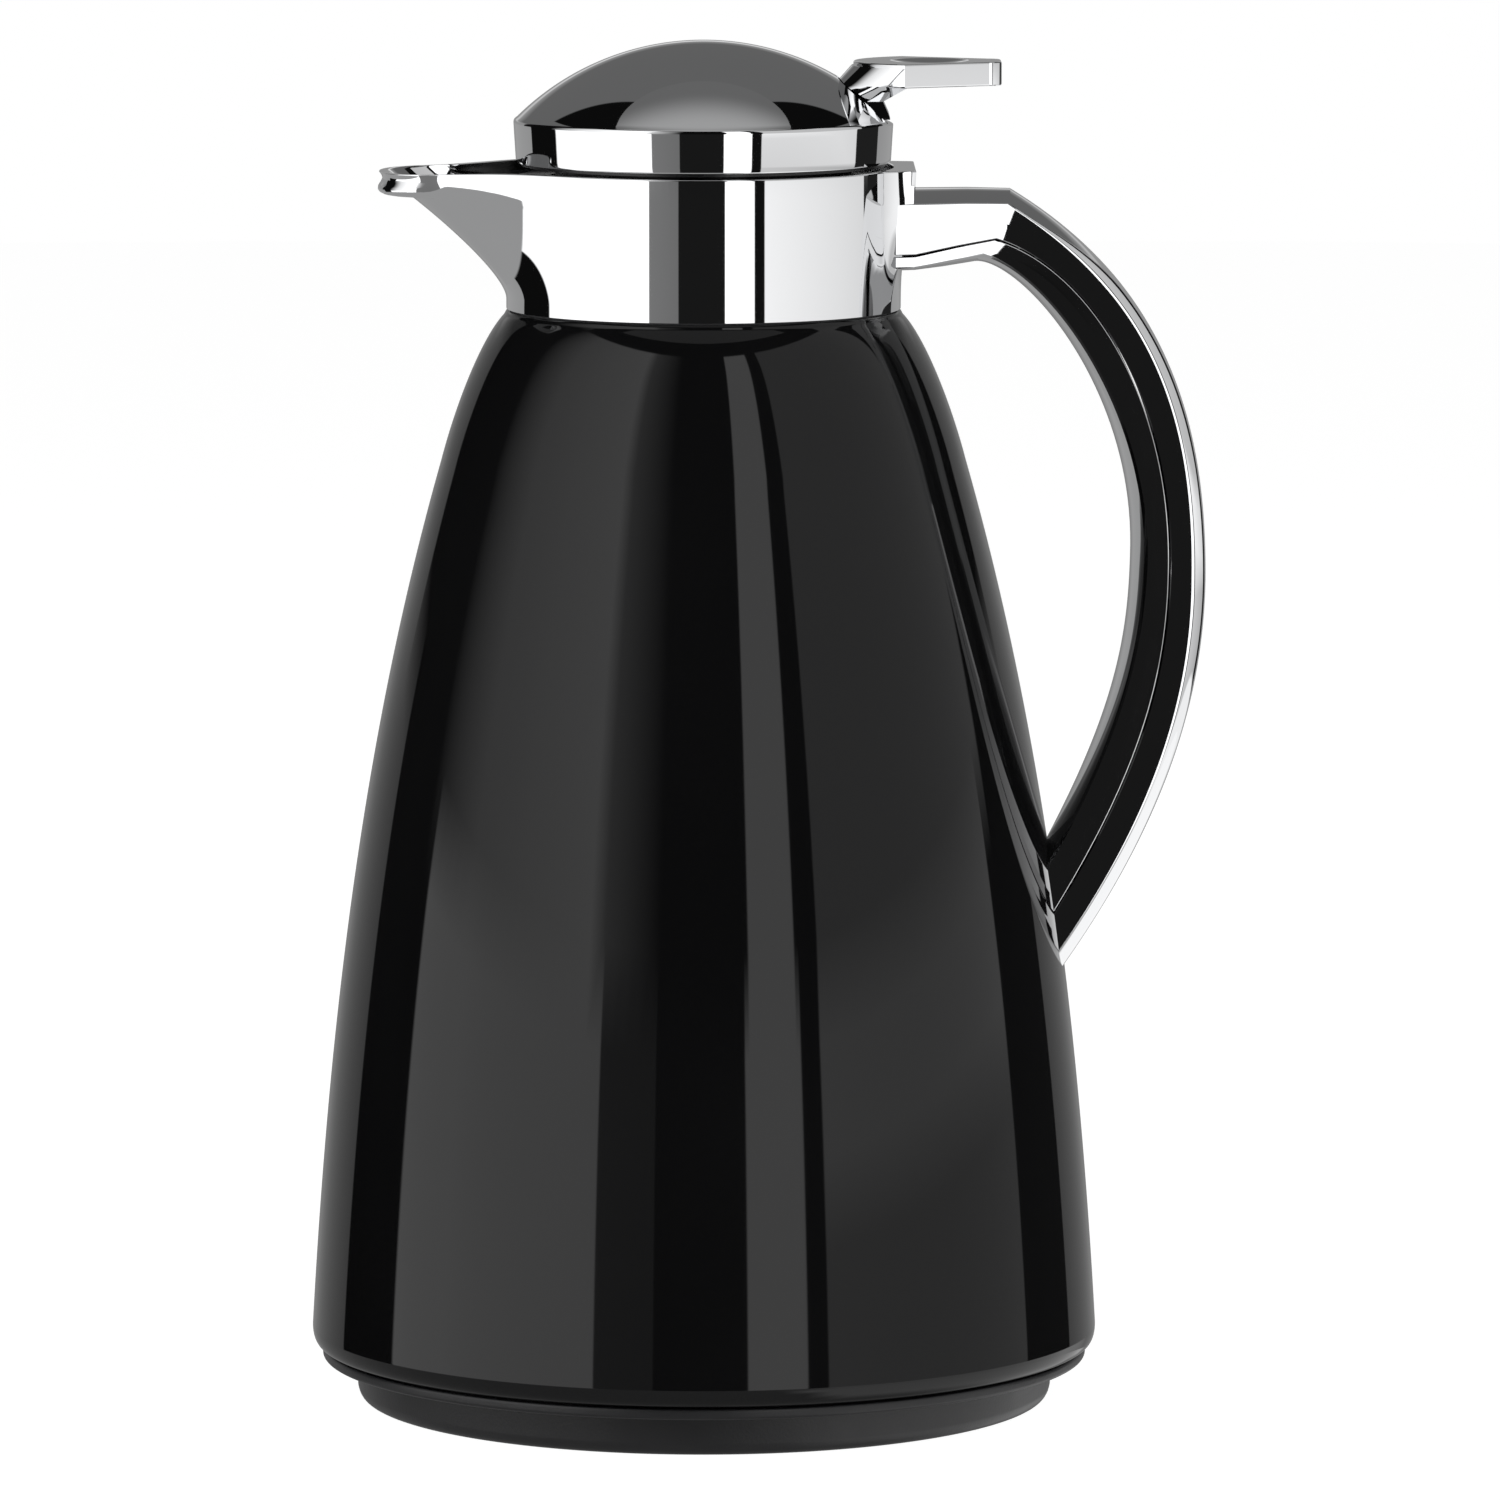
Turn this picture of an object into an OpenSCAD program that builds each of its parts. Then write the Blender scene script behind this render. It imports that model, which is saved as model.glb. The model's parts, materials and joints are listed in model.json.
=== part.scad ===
// Thermal coffee jug: glass vacuum flask in a tapered gloss body, bright collar with a
// poured spout, hollow clamshell handle, and a screw-out lid with a thumb lever that
// lifts a pour valve.  Millimetres, +Z up, origin at the centre of the foot.
// The spout points to -X and the handle to +X.

/* [Body] */
// Radius of the body at its widest, just above the base
body_r = 78.2; // [78:0.1:79]
// Wall of the moulded body
body_wall = 2.3; // [2:0.1:2.6]
// Radius of the collar and of the body's neck
collar_r = 39; // [38.9:0.1:39.2]
// Height of the collar's upper rim
collar_top = 245.9; // [245.7:0.1:246]
// Radius of the foot that the jug stands on
foot_r = 67.1; // [64:0.1:68]

/* [Flask] */
// Outer radius of the outer glass
flask_r = 56; // [54:0.5:56]
// Wall of each glass
glass_wall = 1.6; // [1.2:0.1:1.8]
// Vacuum gap between the two glasses
vacuum_gap = 2.4; // [2:0.1:3]

/* [Lid] */
// Height of the jug to the top of the lid
jug_h = 270.8; // [270:0.1:272]
// Radius of the lid's domed top as a sphere
dome_r = 52.5; // [52:0.5:54]
// Rise of the lid in one full turn of its thread
thread_lead = 16; // [14:0.5:18]
// Height that the pour valve lifts off its seat
valve_lift = 6.2; // [5:0.1:6.2]

/* [Handle] */
// Width of the handle across the grip
handle_w = 24; // [20:1:26]
// Wall of the two handle shells
handle_wall = 1.8; // [1.5:0.1:2.2]

/* [Lever] */
// Width of the thumb lever where it is widest
lever_w = 28.4; // [24:0.1:29]
// Distance of the lever's pivot from the jug's axis
pivot_x = 32.5; // [32:0.1:33]
// Height of the lever's pivot
pivot_z = 252.3; // [252:0.1:252.5]

/* [Hidden] */
$fn = 96;
eps = 0.01;
hull_fn = 32;
// small clearances: between fixed neighbours, and in a running pin
gap = 0.1;
run = 0.05;

shell_top = 217.6;
shell_bottom = 11;
flange_bottom = 8.4;
base_top = 10.6;
collar_bottom = 218;
collar_wall = 1.4;
neck_wall_r = 33.4;
bore_r = 31;
seat_top = 222.6;
seat_r = 27.4;
rim_z = 219;
stopper_r = 29.3;
chamber_r = 27;
plug_r = 25.8;
plug_wall = 2;
plug_bottom = 212;
ceiling_z = 238;
deck_z = 246.3;
deck_r = 36.1;
skirt_bottom = 246.9;
skirt_r = 37.2;
screw_r = 1.25;
lid_screw_ring = 20;
clamp_screw_ring = 35.8;
stem_r = 2.5;
pin_r = 1.5;
cross_pin_r = 1.2;
// the lever's arm reaches from its pivot to the jug's axis
lever_swing = asin(valve_lift / pivot_x);
plate_top = 266.8;
plate_t = 4.7;
handle_root_x = 41.7;
ridge_w = 2.2;
clamp_hole_r = 1.2;
post_inner = 6;
post_t = 3.2;
post_x = 29.7;
post_w = 5;
post_top = 254.3;
tap_r = 1.5;

// ---- outlines --------------------------------------------------------------------------

// Points along a cubic curve with end points a, d and control points b, c
function curve(a, b, c, d, n = 16) = [for (i = [0:n]) let (t = i / n, u = 1 - t)
    u*u*u*a + 3*u*u*t*b + 3*u*t*t*c + t*t*t*d];

// Mixes two lists of points of the same length
function mix(p, q, s) = [for (i = [0:len(p) - 1]) p[i] * (1 - s) + q[i] * s];

function reversed(p) = [for (i = [len(p) - 1:-1:0]) p[i]];

// Side of the body from the neck down to the lower edge, as [radius, height]
shoulder = [52, 187.6];
body_side = concat(
    [[38.6, shell_top]],
    curve([39.5, 216.6], [43.8, 212.1], [49, 199.1], shoulder, 12),
    curve(shoulder, [68, 131.6], [74.8, 73.2], [body_r, 14.8], 24),
    curve([body_r, 14.8], [body_r, 12.6], [77.6, shell_bottom], [76, shell_bottom], 6));

// Side of a flask from its neck to its bottom, for a neck radius, body radius and bottom
function flask_side(neck, r, top, bottom) = concat(
    [[neck, top], [neck, 206]],
    curve([neck, 206], [neck, 195], [r, 177], [r, 144], 14),
    curve([r, bottom + 17], [r, bottom + 2], [0.6 * r, bottom], [9, bottom], 10));

// Half of the spout in plan from the collar to the middle of the lip, y positive
spout_half = concat(
    curve([-23.5, 31.1], [-32, 25], [-42, 17.6], [-54, 13.6], 8),
    curve([-54, 13.6], [-60, 12], [-64, 7], [-64, 0], 8));
spout_plan = concat(spout_half, [for (p = reversed(spout_half)) [p.x, -p.y]]);

// The handle seen from the side: back, seam and finger side, root to lower end
handle_back = concat([[handle_root_x, 241.6], [52, 241.7]],
    curve([60.6, 241.5], [91.9, 222.6], [99.6, 195], [99.5, 164.4], 20),
    curve([99.5, 164.4], [99.1, 136.3], [88.9, 110.3], [66, 79.5], 20));
handle_seam = concat([[handle_root_x, 229.3], [50, 231]],
    curve([57.5, 232.3], [77, 226.2], [92.7, 199], [92, 166.4], 20),
    curve([92, 166.4], [91.6, 143], [85, 121.8], [62, 87], 20));
handle_finger = concat([[handle_root_x, 225.6], [47, 226.2]],
    curve([52.7, 227.1], [60.9, 229.7], [85.9, 203], [84.6, 168.4], 20),
    curve([84.6, 168.4], [84.1, 149.9], [81.1, 133.3], [60, 97], 20));

// Thumb plate in plan: a half ellipse towards the spout, then a straight taper to the end
plate_front_x = 39.5;
plate_tip = 9.9;
plate_end_x = 58.8;
plate_end_half = 6;
plate_corner = 2.5;
function front(half, x) = [for (i = [0:16]) let (a = 90 + i * 180 / 16)
    [x + plate_tip * cos(a), half * sin(a)]];
function corner(from_a) = [for (i = [0:6]) let (a = from_a + 15 * i)
    [plate_end_x - plate_corner + plate_corner * cos(a), plate_corner * sin(a) +
        sign(from_a + 45) * (plate_end_half - plate_corner)]];
plate_plan = concat(front(lever_w / 2, plate_front_x), corner(-90), corner(0));

// ---- swept forms -----------------------------------------------------------------------

// Points and faces of a tube of rings with k points each, closed at both ends
function ring_faces(rings, k) = concat(
    [[for (j = [k - 1:-1:0]) j]],
    [for (i = [0:rings - 2], j = [0:k - 1]) let (m = (j + 1) % k)
        [i*k + j, i*k + m, (i + 1)*k + m, (i + 1)*k + j]],
    [[for (j = [0:k - 1]) (rings - 1)*k + j]]);

// One thread ridge: a helical bar from wall radius r0 to crest radius r1
module thread_ridge(r0, r1, from_a, to_a, z_mid, a_mid) {
    steps = 20;
    wide = ridge_w / 2;
    crest = ridge_w / 2 - 0.45;
    inward = r1 < r0;
    section = inward ? [[r1, -crest], [r0, -wide], [r0, wide], [r1, crest]]
                     : [[r0, -wide], [r1, -crest], [r1, crest], [r0, wide]];
    points = [for (i = [0:steps], s = section)
        let (a = from_a + (to_a - from_a) * i / steps)
        [s.x * cos(a), s.x * sin(a), z_mid + s.y + thread_lead * (a - a_mid) / 360]];
    polyhedron(points, ring_faces(steps + 1, 4), convexity = 6);
}

// Helical compression spring, with its first and last turns laid flat
module coil_spring(radius, wire, z0, z1, turns) {
    sides = 8;
    per_turn = 16;
    rings = turns * per_turn;
    function rise(i) = let (t = i / per_turn, f = t < 1 ? 0 : t > turns - 1 ? 1 :
        (t - 1) / (turns - 2)) z0 + wire + (z1 - z0 - 2 * wire) * f;
    points = [for (i = [0:rings], j = [0:sides - 1])
        let (a = 360 * i / per_turn, b = 360 * j / sides, r = radius + wire * cos(b))
        [r * cos(a), r * sin(a), rise(i) + wire * sin(b) + (i < per_turn ?
            -0.02 : i > rings - per_turn ? 0.02 : 0)]];
    polyhedron(points, ring_faces(rings + 1, sides), convexity = 20);
}

module ring(r_out, r_in, z0, z1) {
    difference() {
        translate([0, 0, z0]) cylinder(r = r_out, h = z1 - z0);
        translate([0, 0, z0 - 1]) cylinder(r = r_in, h = z1 - z0 + 2);
    }
}

module disc(r, z0, z1) translate([0, 0, z0]) cylinder(r = r, h = z1 - z0);

// A bar along Y centred on the XZ plane
module cross_bar(r, length, x, z)
    translate([x, 0, z]) rotate([90, 0, 0]) cylinder(r = r, h = length, center = true);

module around(count, ring_r, first = 0)
    for (i = [0:count - 1]) rotate([0, 0, first + i * 360 / count])
        translate([ring_r, 0, 0]) children();

module clamp_holes(r, top) around(4, clamp_screw_ring, 45)
    translate([0, 0, 200]) cylinder(r = r, h = top - 200);

module body_solid() rotate_extrude() polygon(concat([[0, shell_top]], body_side,
    [[0, shell_bottom]]));

// ---- jug -------------------------------------------------------------------------------

// Threaded cup that closes the bottom, with a flange under the body and a stepped foot
module base_cup() color("#1c1c1e") rotate_extrude() polygon(concat(
    [[64, 0], [foot_r, 0]],
    curve([foot_r, 0], [68.6, 0], [68.9, 1.4], [69.3, 3.5], 5),
    [[69.6, flange_bottom], [75.4, flange_bottom], [76.2, 9], [76.2, 10.2],
     [75.8, base_top], [73.3, base_top], [73.3, 18], [71.3, 18], [71.3, base_top],
     [67.2, base_top], [67.2, 5.4], [0, 5.4], [0, 3.2], [62, 3.2]]));

module outer_shell() color("#0c0c0e") difference() {
    rotate_extrude() polygon(concat(body_side,
        [for (i = [len(body_side) - 1:-1:2]) [body_side[i].x - body_wall, body_side[i].y]],
        [[38.3, shell_top - 2.2], [34, shell_top - 2.2], [34, shell_top]]));
    clamp_holes(clamp_hole_r, 220);
    lower_handle_hole(tap_r + gap);
}

module liner_cushion() color("#3a3a3c") difference() {
    rotate_extrude() polygon(concat([[14, 5.5], [46, 5.5], [58.5, 12], [58.5, 30],
        [flask_r + 0.2, 30]],
        curve([flask_r + 0.2, 30], [flask_r + 0.2, 16], [33, 15.3], [14, 15.3], 8)));
    disc(6, 0, 40);
}

module glass_outer_flask() color([0.8, 0.85, 0.88, 0.5]) {
    outer = flask_side(31.8, flask_r, rim_z - 1.5, 15.5);
    inner = flask_side(31.8 - glass_wall, flask_r - glass_wall, rim_z - 1.5,
        15.5 + glass_wall);
    // the pip where the vacuum was drawn closes the middle of the bottom
    rotate_extrude() polygon(concat(outer, [[3.2, 15.5], [1.6, 11.4], [0, 11]],
        [[0, 15.5 + glass_wall]], reversed(inner)));
}

module glass_inner_flask() color([0.75, 0.78, 0.8, 0.6]) {
    r_out = flask_r - glass_wall - vacuum_gap;
    outer = flask_side(28.2, r_out, rim_z - 1.5, 20.4);
    inner = flask_side(28.2 - glass_wall, r_out - glass_wall, rim_z,
        20.4 + glass_wall);
    rotate_extrude() polygon(concat([[31.8, rim_z], [31.8, rim_z - 1.5]], outer,
        [[0, 20.4], [0, 20.4 + glass_wall]], reversed(inner)));
}

// Small pads that hold the two glasses apart
module flask_spacers() color("#b9b2a0") around(3, flask_r - glass_wall - vacuum_gap, 30)
    translate([vacuum_gap / 2, 0, 70]) rotate([0, 90, 0])
        cylinder(r = 5, h = vacuum_gap - 0.4, center = true);

module mouth_seal() color("#d8d8d4") rotate_extrude() polygon([[27, rim_z],
    [32, rim_z], [32, 217.6], [32.8, 217.6], [32.8, 220.6], [27, 220.6]]);

module clamp_ring() color("#2b2b2d") difference() {
    ring(38.2, 33.4, 213, 215.4);
    clamp_holes(clamp_hole_r, 220);
}

module clamp_screws() color("#b8bcc0") around(4, clamp_screw_ring, 45) {
    translate([0, 0, 211.4]) cylinder(r = 2.1, h = 1.6);
    translate([0, 0, 212.8]) cylinder(r = 1.1, h = 10);
}

module collar_gasket() color("#161616") difference() {
    ring(38.3, 34, shell_top, collar_bottom);
    clamp_holes(clamp_hole_r, 220);
}

// Everything inside the spout's outer skin, set in by the wall
module spout_form(inset, z_top, z_keel) {
    plan = [for (p = spout_plan) let (l = norm(p)) p * (l - inset) / l];
    hull() {
        translate([0, 0, 241]) linear_extrude(z_top - 241) polygon(concat(plan,
            [[-20, -24], [-20, 24]]));
        translate([0, 0, 239.5]) linear_extrude(1) polygon(concat(
            [for (p = plan) [p.x * 0.93, p.y * 0.97]], [[-20, -24], [-20, 24]]));
        translate([-collar_r + inset + 2.6, 0, z_keel]) cylinder(r = 2.6, h = 1,
            $fn = hull_fn);
    }
}

// Bright collar: a short tube with an inner clamping flange, the spout and handle boss
module collar() color("#d4d6d8") difference() {
    union() {
        disc(collar_r, collar_bottom, collar_top);
        spout_form(0, 244.9, 221.8);
        translate([30, -handle_w / 2 - 0.6, 224.6])
            cube([handle_root_x - 30, handle_w + 1.2, collar_top - 224.8]);
    }
    disc(collar_r - collar_wall, 219.6, 260);
    disc(34, 200, 230);
    difference() {
        spout_form(collar_wall, 250, 224.6);
        disc(34, 200, 219.6);
    }
    // socket in the handle boss for the bracket's tongue
    translate([30, -8, 229.9]) cube([20, 16, 6.2]);
    clamp_holes(clamp_hole_r, 220);
}

// Plastic lining of the neck, with the seat for the lid's seal, the female thread and
// the window that lets the coffee into the spout
module neck_ring() color("#222224") {
    difference() {
        union() {
            ring(collar_r - collar_wall - gap, seat_r, 220.6, seat_top);
            ring(collar_r - collar_wall - gap, 33, 219.6, 220.7);
            ring(neck_wall_r, bore_r, seat_top - eps, 243.8);
            ring(collar_r - collar_wall - gap, bore_r, 242.2, 243.8);
        }
        translate([-60, -13, 223.6]) cube([50, 26, 17]);
        clamp_holes(1.1, 222.81);
        // seat for the handle bracket
        translate([33.6, -8.2, 229.7]) cube([6, 16.4, 6.6]);
    }
    for (a = [90, 270]) thread_ridge(bore_r + 0.3, 29.9, a - 50, a + 50, 237.6, a);
}

// ---- handle ----------------------------------------------------------------------------

// Band of the handle's side view between two curves, given across the full width
module handle_band(from_side, to_side, width)
    translate([0, width / 2, 0]) rotate([90, 0, 0]) linear_extrude(width)
        polygon(concat(from_side, reversed(to_side)));

wall_back = handle_wall / 7.6;

module handle_outer_shell() color("#d4d6d8") difference() {
    handle_band(handle_back, handle_seam, handle_w);
    difference() {
        handle_band(mix(handle_back, handle_seam, wall_back),
            mix(handle_back, handle_seam, 1.2), handle_w - 2 * handle_wall);
        // solid foot that takes the lower screw
        translate([60, -20, 70]) cube([17, 40, 28]);
    }
    body_solid();
    lower_handle_hole(tap_r);
}

module handle_inner_shell() color("#d4d6d8") difference() {
    handle_band(handle_seam, handle_finger, handle_w);
    difference() {
        handle_band(mix(handle_seam, handle_finger, -0.2),
            mix(handle_seam, handle_finger, 1 - wall_back), handle_w - 2 * handle_wall);
        translate([60, -20, 70]) cube([15, 40, 40]);
    }
    body_solid();
}

// Steel hook that carries the top of the handle from inside the collar
module handle_bracket() color("#8d9094") {
    translate([37.5, -7.8, 230.1]) cube([18.5, 15.6, 2]);
    translate([35.4, -7.8, 230.1]) cube([2.2, 15.6, 5.8]);
}

module lower_handle_hole(r) translate([60, 0, 93]) rotate([0, 90, 0])
    cylinder(r = r, h = 14.2);

// Screw from inside the body into the handle's lower end
module handle_screw() color("#b8bcc0") {
    translate([66.4, 0, 93]) rotate([0, 90, 0]) cylinder(r = 3, h = 2);
    translate([68, 0, 93]) rotate([0, 90, 0]) cylinder(r = tap_r, h = 5.8);
}

// ---- lid -------------------------------------------------------------------------------

// Silicone ring under the stopper's shoulder, which closes the neck
module stopper_seal() color("#e0ddd6") ring(29.6, 27.7, seat_top + 0.05, 225);

// Plug with the pour chamber, valve seat, two flow windows and the male thread
module stopper_body() color("#1c1c1e") {
    difference() {
        union() {
            disc(stopper_r, 225.05, deck_z);
            disc(27.6, seat_top + 0.3, 225.1);
            disc(plug_r, plug_bottom, seat_top + 0.6);
        }
        difference() {
            union() {
                disc(plug_r - plug_wall, 214.5, 227);
                disc(chamber_r, 226.9, 260);
            }
            disc(chamber_r + 1, ceiling_z, 240.5);
        }
        disc(8, 200, 220);
        disc(4.6, 230, 250);
        around(3, lid_screw_ring, 90) translate([0, 0, 230]) cylinder(r = 1.5, h = 20);
        for (a = [0, 180]) rotate([0, 0, a]) translate([20, -11, 226.9])
            cube([20, 22, 9]);
    }
    for (a = [90, 270]) thread_ridge(stopper_r - 0.3, 30.5, a - 30, a + 30, 235, a);
}

// Plastic plate that closes the lid from below and carries the lever's two posts
module lid_deck() color("#1c1c1e") difference() {
    union() {
        disc(deck_r, deck_z, 248.3);
        around(3, lid_screw_ring, 90) translate([0, 0, 240.5]) cylinder(r = 4, h = 6);
        for (y = [-post_inner - post_t, post_inner]) translate([post_x, y, 248])
            cube([post_w, post_t, post_top - 248]);
    }
    disc(7.4, 240, 250);
    around(3, lid_screw_ring, 90) translate([0, 0, 239]) cylinder(r = screw_r, h = 9);
    cross_bar(pin_r, 40, pivot_x, pivot_z);
}

// Bright domed cap with a short skirt, slotted where the lever passes through
module lid_cap() color("#d4d6d8") difference() {
    dome_from = asin(36.7 / dome_r);
    dome_steps = 24;
    centre_z = jug_h - dome_r;
    outer = concat([[skirt_r - 0.2, skirt_bottom], [skirt_r, 247.4], [37.5, 254.6],
        [37.4, 255.2]], [for (i = [0:dome_steps]) let (a = dome_from * (1 - i / dome_steps))
        [dome_r * sin(a), centre_z + dome_r * cos(a)]]);
    skin = 1;
    inner_from = asin(35.8 / (dome_r - skin));
    inner = concat([for (i = [0:dome_steps]) let (a = inner_from * i / dome_steps)
        [(dome_r - skin) * sin(a), centre_z + (dome_r - skin) * cos(a)]],
        [[36.4, 254.6], [skirt_r - skin, 247.4], [skirt_r - skin, skirt_bottom]]);
    rotate_extrude() polygon(concat(outer, inner));
    lever_slot();
}

// Room for the lever through its whole travel, with a small clearance
module lever_slot() {
    clear = 0.35;
    hull() {
        lever_web(clear);
        lever_swung() lever_web(clear);
    }
    hull() {
        lever_foot(clear, 8);
        lever_swung() lever_foot(clear, 8);
    }
}

module lever_swung() translate([pivot_x, 0, pivot_z]) rotate([0, lever_swing, 0])
    translate([-pivot_x, 0, -pivot_z]) children();

// Flat slice of the lever at height z: rounded front, straight back at x1
module lever_slice(half, x, x1, z, grow)
    translate([0, 0, z]) linear_extrude(0.4) polygon(concat(
        [for (p = front(half + grow, x)) [p.x - grow, p.y]],
        [[x1 + grow, -half - grow], [x1 + grow, half + grow]]));

// Web of the lever: it leans towards the spout and narrows on its way down
web_half = 8.6;
module lever_web(grow) hull() {
    lever_slice(lever_w / 2, plate_front_x - 0.4, plate_front_x, plate_top - 1.3, grow);
    lever_slice(12.4, plate_front_x - 3.6, 40.4, plate_top - plate_t, grow);
    lever_slice(web_half, plate_front_x - 7.4, 35.2, 259.1, grow);
}

// Foot of the lever, flush with the edge of the cap; its back is moved out by extra
module lever_foot(grow, extra) hull() {
    translate([27.5 - grow, -web_half - grow, 259.1])
        cube([7.7 + grow + extra, 2 * (web_half + grow), 0.4 + grow]);
    translate([30.5 - grow, -9.8 - grow, 255.7 - grow])
        cube([6.2 + grow + extra, 2 * (9.8 + grow), 0.4]);
}

// Thumb plate, web, pivot block and the forked arm that lifts the valve
module thumb_lever() color("#d4d6d8") difference() {
    dish_r = 8;
    dish_depth = 0.9;
    dish_ball = (dish_r * dish_r + dish_depth * dish_depth) / (2 * dish_depth);
    union() {
        translate([0, 0, plate_top - plate_t]) linear_extrude(plate_t)
            polygon(plate_plan);
        lever_web(0);
        lever_foot(0, 0);
        translate([29, -5, 250.3]) cube([6.1, 10, 9.5]);
        translate([-3.2, -5, 250.3]) cube([34, 10, 4]);
    }
    translate([44.6, 0, plate_top - dish_depth + dish_ball]) sphere(r = dish_ball,
        $fn = 180);
    cross_bar(pin_r + run, 30, pivot_x, pivot_z);
    translate([-10, -3.1, 245]) cube([14.5, 6.2, 20]);
    translate([-1.8, -10, pivot_z - 1.4]) cube([3.6, 20, 2.8]);
}

module lever_pin() color("#b8bcc0")
    cross_bar(pin_r, 2 * (post_inner + post_t), pivot_x, pivot_z);

module lid_screws() color("#b8bcc0") around(3, lid_screw_ring, 90) {
    translate([0, 0, ceiling_z - 1.6]) cylinder(r = 2.8, h = 1.6);
    translate([0, 0, ceiling_z - 0.1]) cylinder(r = screw_r, h = 9);
}

module stem_guide() color("#e8e6e0") difference() {
    union() {
        disc(4.6, 234, 243);
        disc(7, 240.5, 242);
    }
    disc(stem_r + run, 230, 250);
}

// ---- pour valve ------------------------------------------------------------------------

module valve_stem() color("#c8cacc") difference() {
    disc(stem_r, 218.4, 254.8);
    cross_bar(cross_pin_r, 20, 0, pivot_z);
}

module valve_disc() color("#2a2a2c") {
    disc(12, 215.6, 218.4);
    disc(8.3, 214.9, 215.7);
}

module valve_washer() color("#e0ddd6") ring(12.4, 8.3, 214.55, 215.6);

module stem_cross_pin() color("#b8bcc0") cross_bar(cross_pin_r, 10.4, 0, pivot_z);

module valve_spring() color("#b8bcc0") coil_spring(6.2, 0.45, 218.45, ceiling_z - 0.05, 7);

base_cup();
outer_shell();
liner_cushion();
glass_outer_flask();
glass_inner_flask();
flask_spacers();
mouth_seal();
clamp_ring();
clamp_screws();
collar_gasket();
collar();
neck_ring();
handle_outer_shell();
handle_inner_shell();
handle_bracket();
handle_screw();
stopper_seal();
stopper_body();
lid_deck();
lid_cap();
lid_screws();
stem_guide();
lever_pin();
thumb_lever();
valve_stem();
valve_disc();
valve_washer();
stem_cross_pin();
valve_spring();
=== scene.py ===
"""Thermal coffee jug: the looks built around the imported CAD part.

Shapes are worked out in millimetres and turned into metres when a mesh is made.
The spout points to -X, the handle to +X, and +Z is up.
"""

import json
import math

import bmesh
import bpy
from mathutils import Matrix, Vector


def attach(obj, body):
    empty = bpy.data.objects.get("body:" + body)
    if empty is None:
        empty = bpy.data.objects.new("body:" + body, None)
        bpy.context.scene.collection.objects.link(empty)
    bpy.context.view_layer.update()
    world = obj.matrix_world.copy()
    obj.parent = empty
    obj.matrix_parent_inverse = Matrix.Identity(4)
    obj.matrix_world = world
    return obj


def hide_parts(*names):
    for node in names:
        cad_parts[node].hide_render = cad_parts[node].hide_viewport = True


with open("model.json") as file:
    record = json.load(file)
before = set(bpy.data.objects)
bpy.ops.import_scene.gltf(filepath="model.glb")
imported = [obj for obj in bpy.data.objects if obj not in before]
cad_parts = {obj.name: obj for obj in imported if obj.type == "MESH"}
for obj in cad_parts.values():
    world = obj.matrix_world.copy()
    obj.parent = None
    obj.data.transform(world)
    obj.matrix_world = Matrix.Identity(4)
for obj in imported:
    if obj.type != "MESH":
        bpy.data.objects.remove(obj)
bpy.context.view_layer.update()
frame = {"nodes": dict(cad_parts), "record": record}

MM = 0.001

# ---- sizes shared with the CAD part, in millimetres ------------------------------------

COLLAR_R = 39.0
COLLAR_WALL = 1.4
COLLAR_BOTTOM = 218.0
COLLAR_TOP = 245.9
SHELL_TOP = 217.6
SHELL_BOTTOM = 11.0
NECK_R = 38.6           # the body's top edge, under the collar
NECK_HOLE_R = 34.0      # the hole in the body's top and in the collar's bottom
BODY_R = 78.2
BODY_WALL = 2.3
SHOULDER = (52.0, 187.6)
FOOT_R = 67.1
FLANGE_R = 76.2         # the base's flange, just under the body
FLANGE_BOTTOM = 8.4
FLANGE_TOP = 10.6
JUG_H = 270.8
DOME_R = 52.5
HANDLE_WALL = 1.8
PIVOT = (32.5, 252.3)
LEVER_SWING = 11.0
LEVER_HALF = 14.2
PLATE_TOP = 266.8
PLATE_T = 4.7
PLATE_FRONT_X = 39.5
PLATE_TIP = 9.9         # how far the plate's round front stands before its corners
PLATE_END_X = 58.8
PLATE_END_HALF = 6.0
PLATE_CORNER = 2.5
WEB_HALF = 8.6          # the web under the plate, at its bottom
WEB_BACK_X = 35.2
WEB_BOTTOM = 259.1
LEVER_FOOT_HALF = 9.8   # the foot of the web, inside the lid
LEVER_FOOT_BOTTOM = 255.7

# ---- small helpers ---------------------------------------------------------------------


def curve(a, b, c, d, n):
    """n + 1 points along a cubic curve with ends a, d and handles b, c."""
    out = []
    for i in range(n + 1):
        t = i / n
        u = 1 - t
        weights = (u * u * u, 3 * u * u * t, 3 * u * t * t, t * t * t)
        out.append(tuple(sum(w * p[k] for w, p in zip(weights, (a, b, c, d)))
                         for k in range(len(a))))
    return out


def joined(*runs):
    """Runs of points put end to end, without the repeated point where two runs meet."""
    out = list(runs[0])
    for run in runs[1:]:
        out += run[1:] if math.dist(out[-1], run[0]) < 1e-6 else run
    return out


def table_value(table, x):
    """Straight-line value at x in a table of (x, value) rows with x rising."""
    if x <= table[0][0]:
        return table[0][1]
    for (x0, v0), (x1, v1) in zip(table, table[1:]):
        if x <= x1:
            return v0 + (v1 - v0) * (x - x0) / (x1 - x0)
    return table[-1][1]


def mix(a, b, t):
    return a + (b - a) * t


def eased(value, start, end):
    """0 up to start, 1 from end on, and a soft step between them."""
    t = min(max((value - start) / (end - start), 0.0), 1.0)
    return t * t * (3 - 2 * t)


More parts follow.
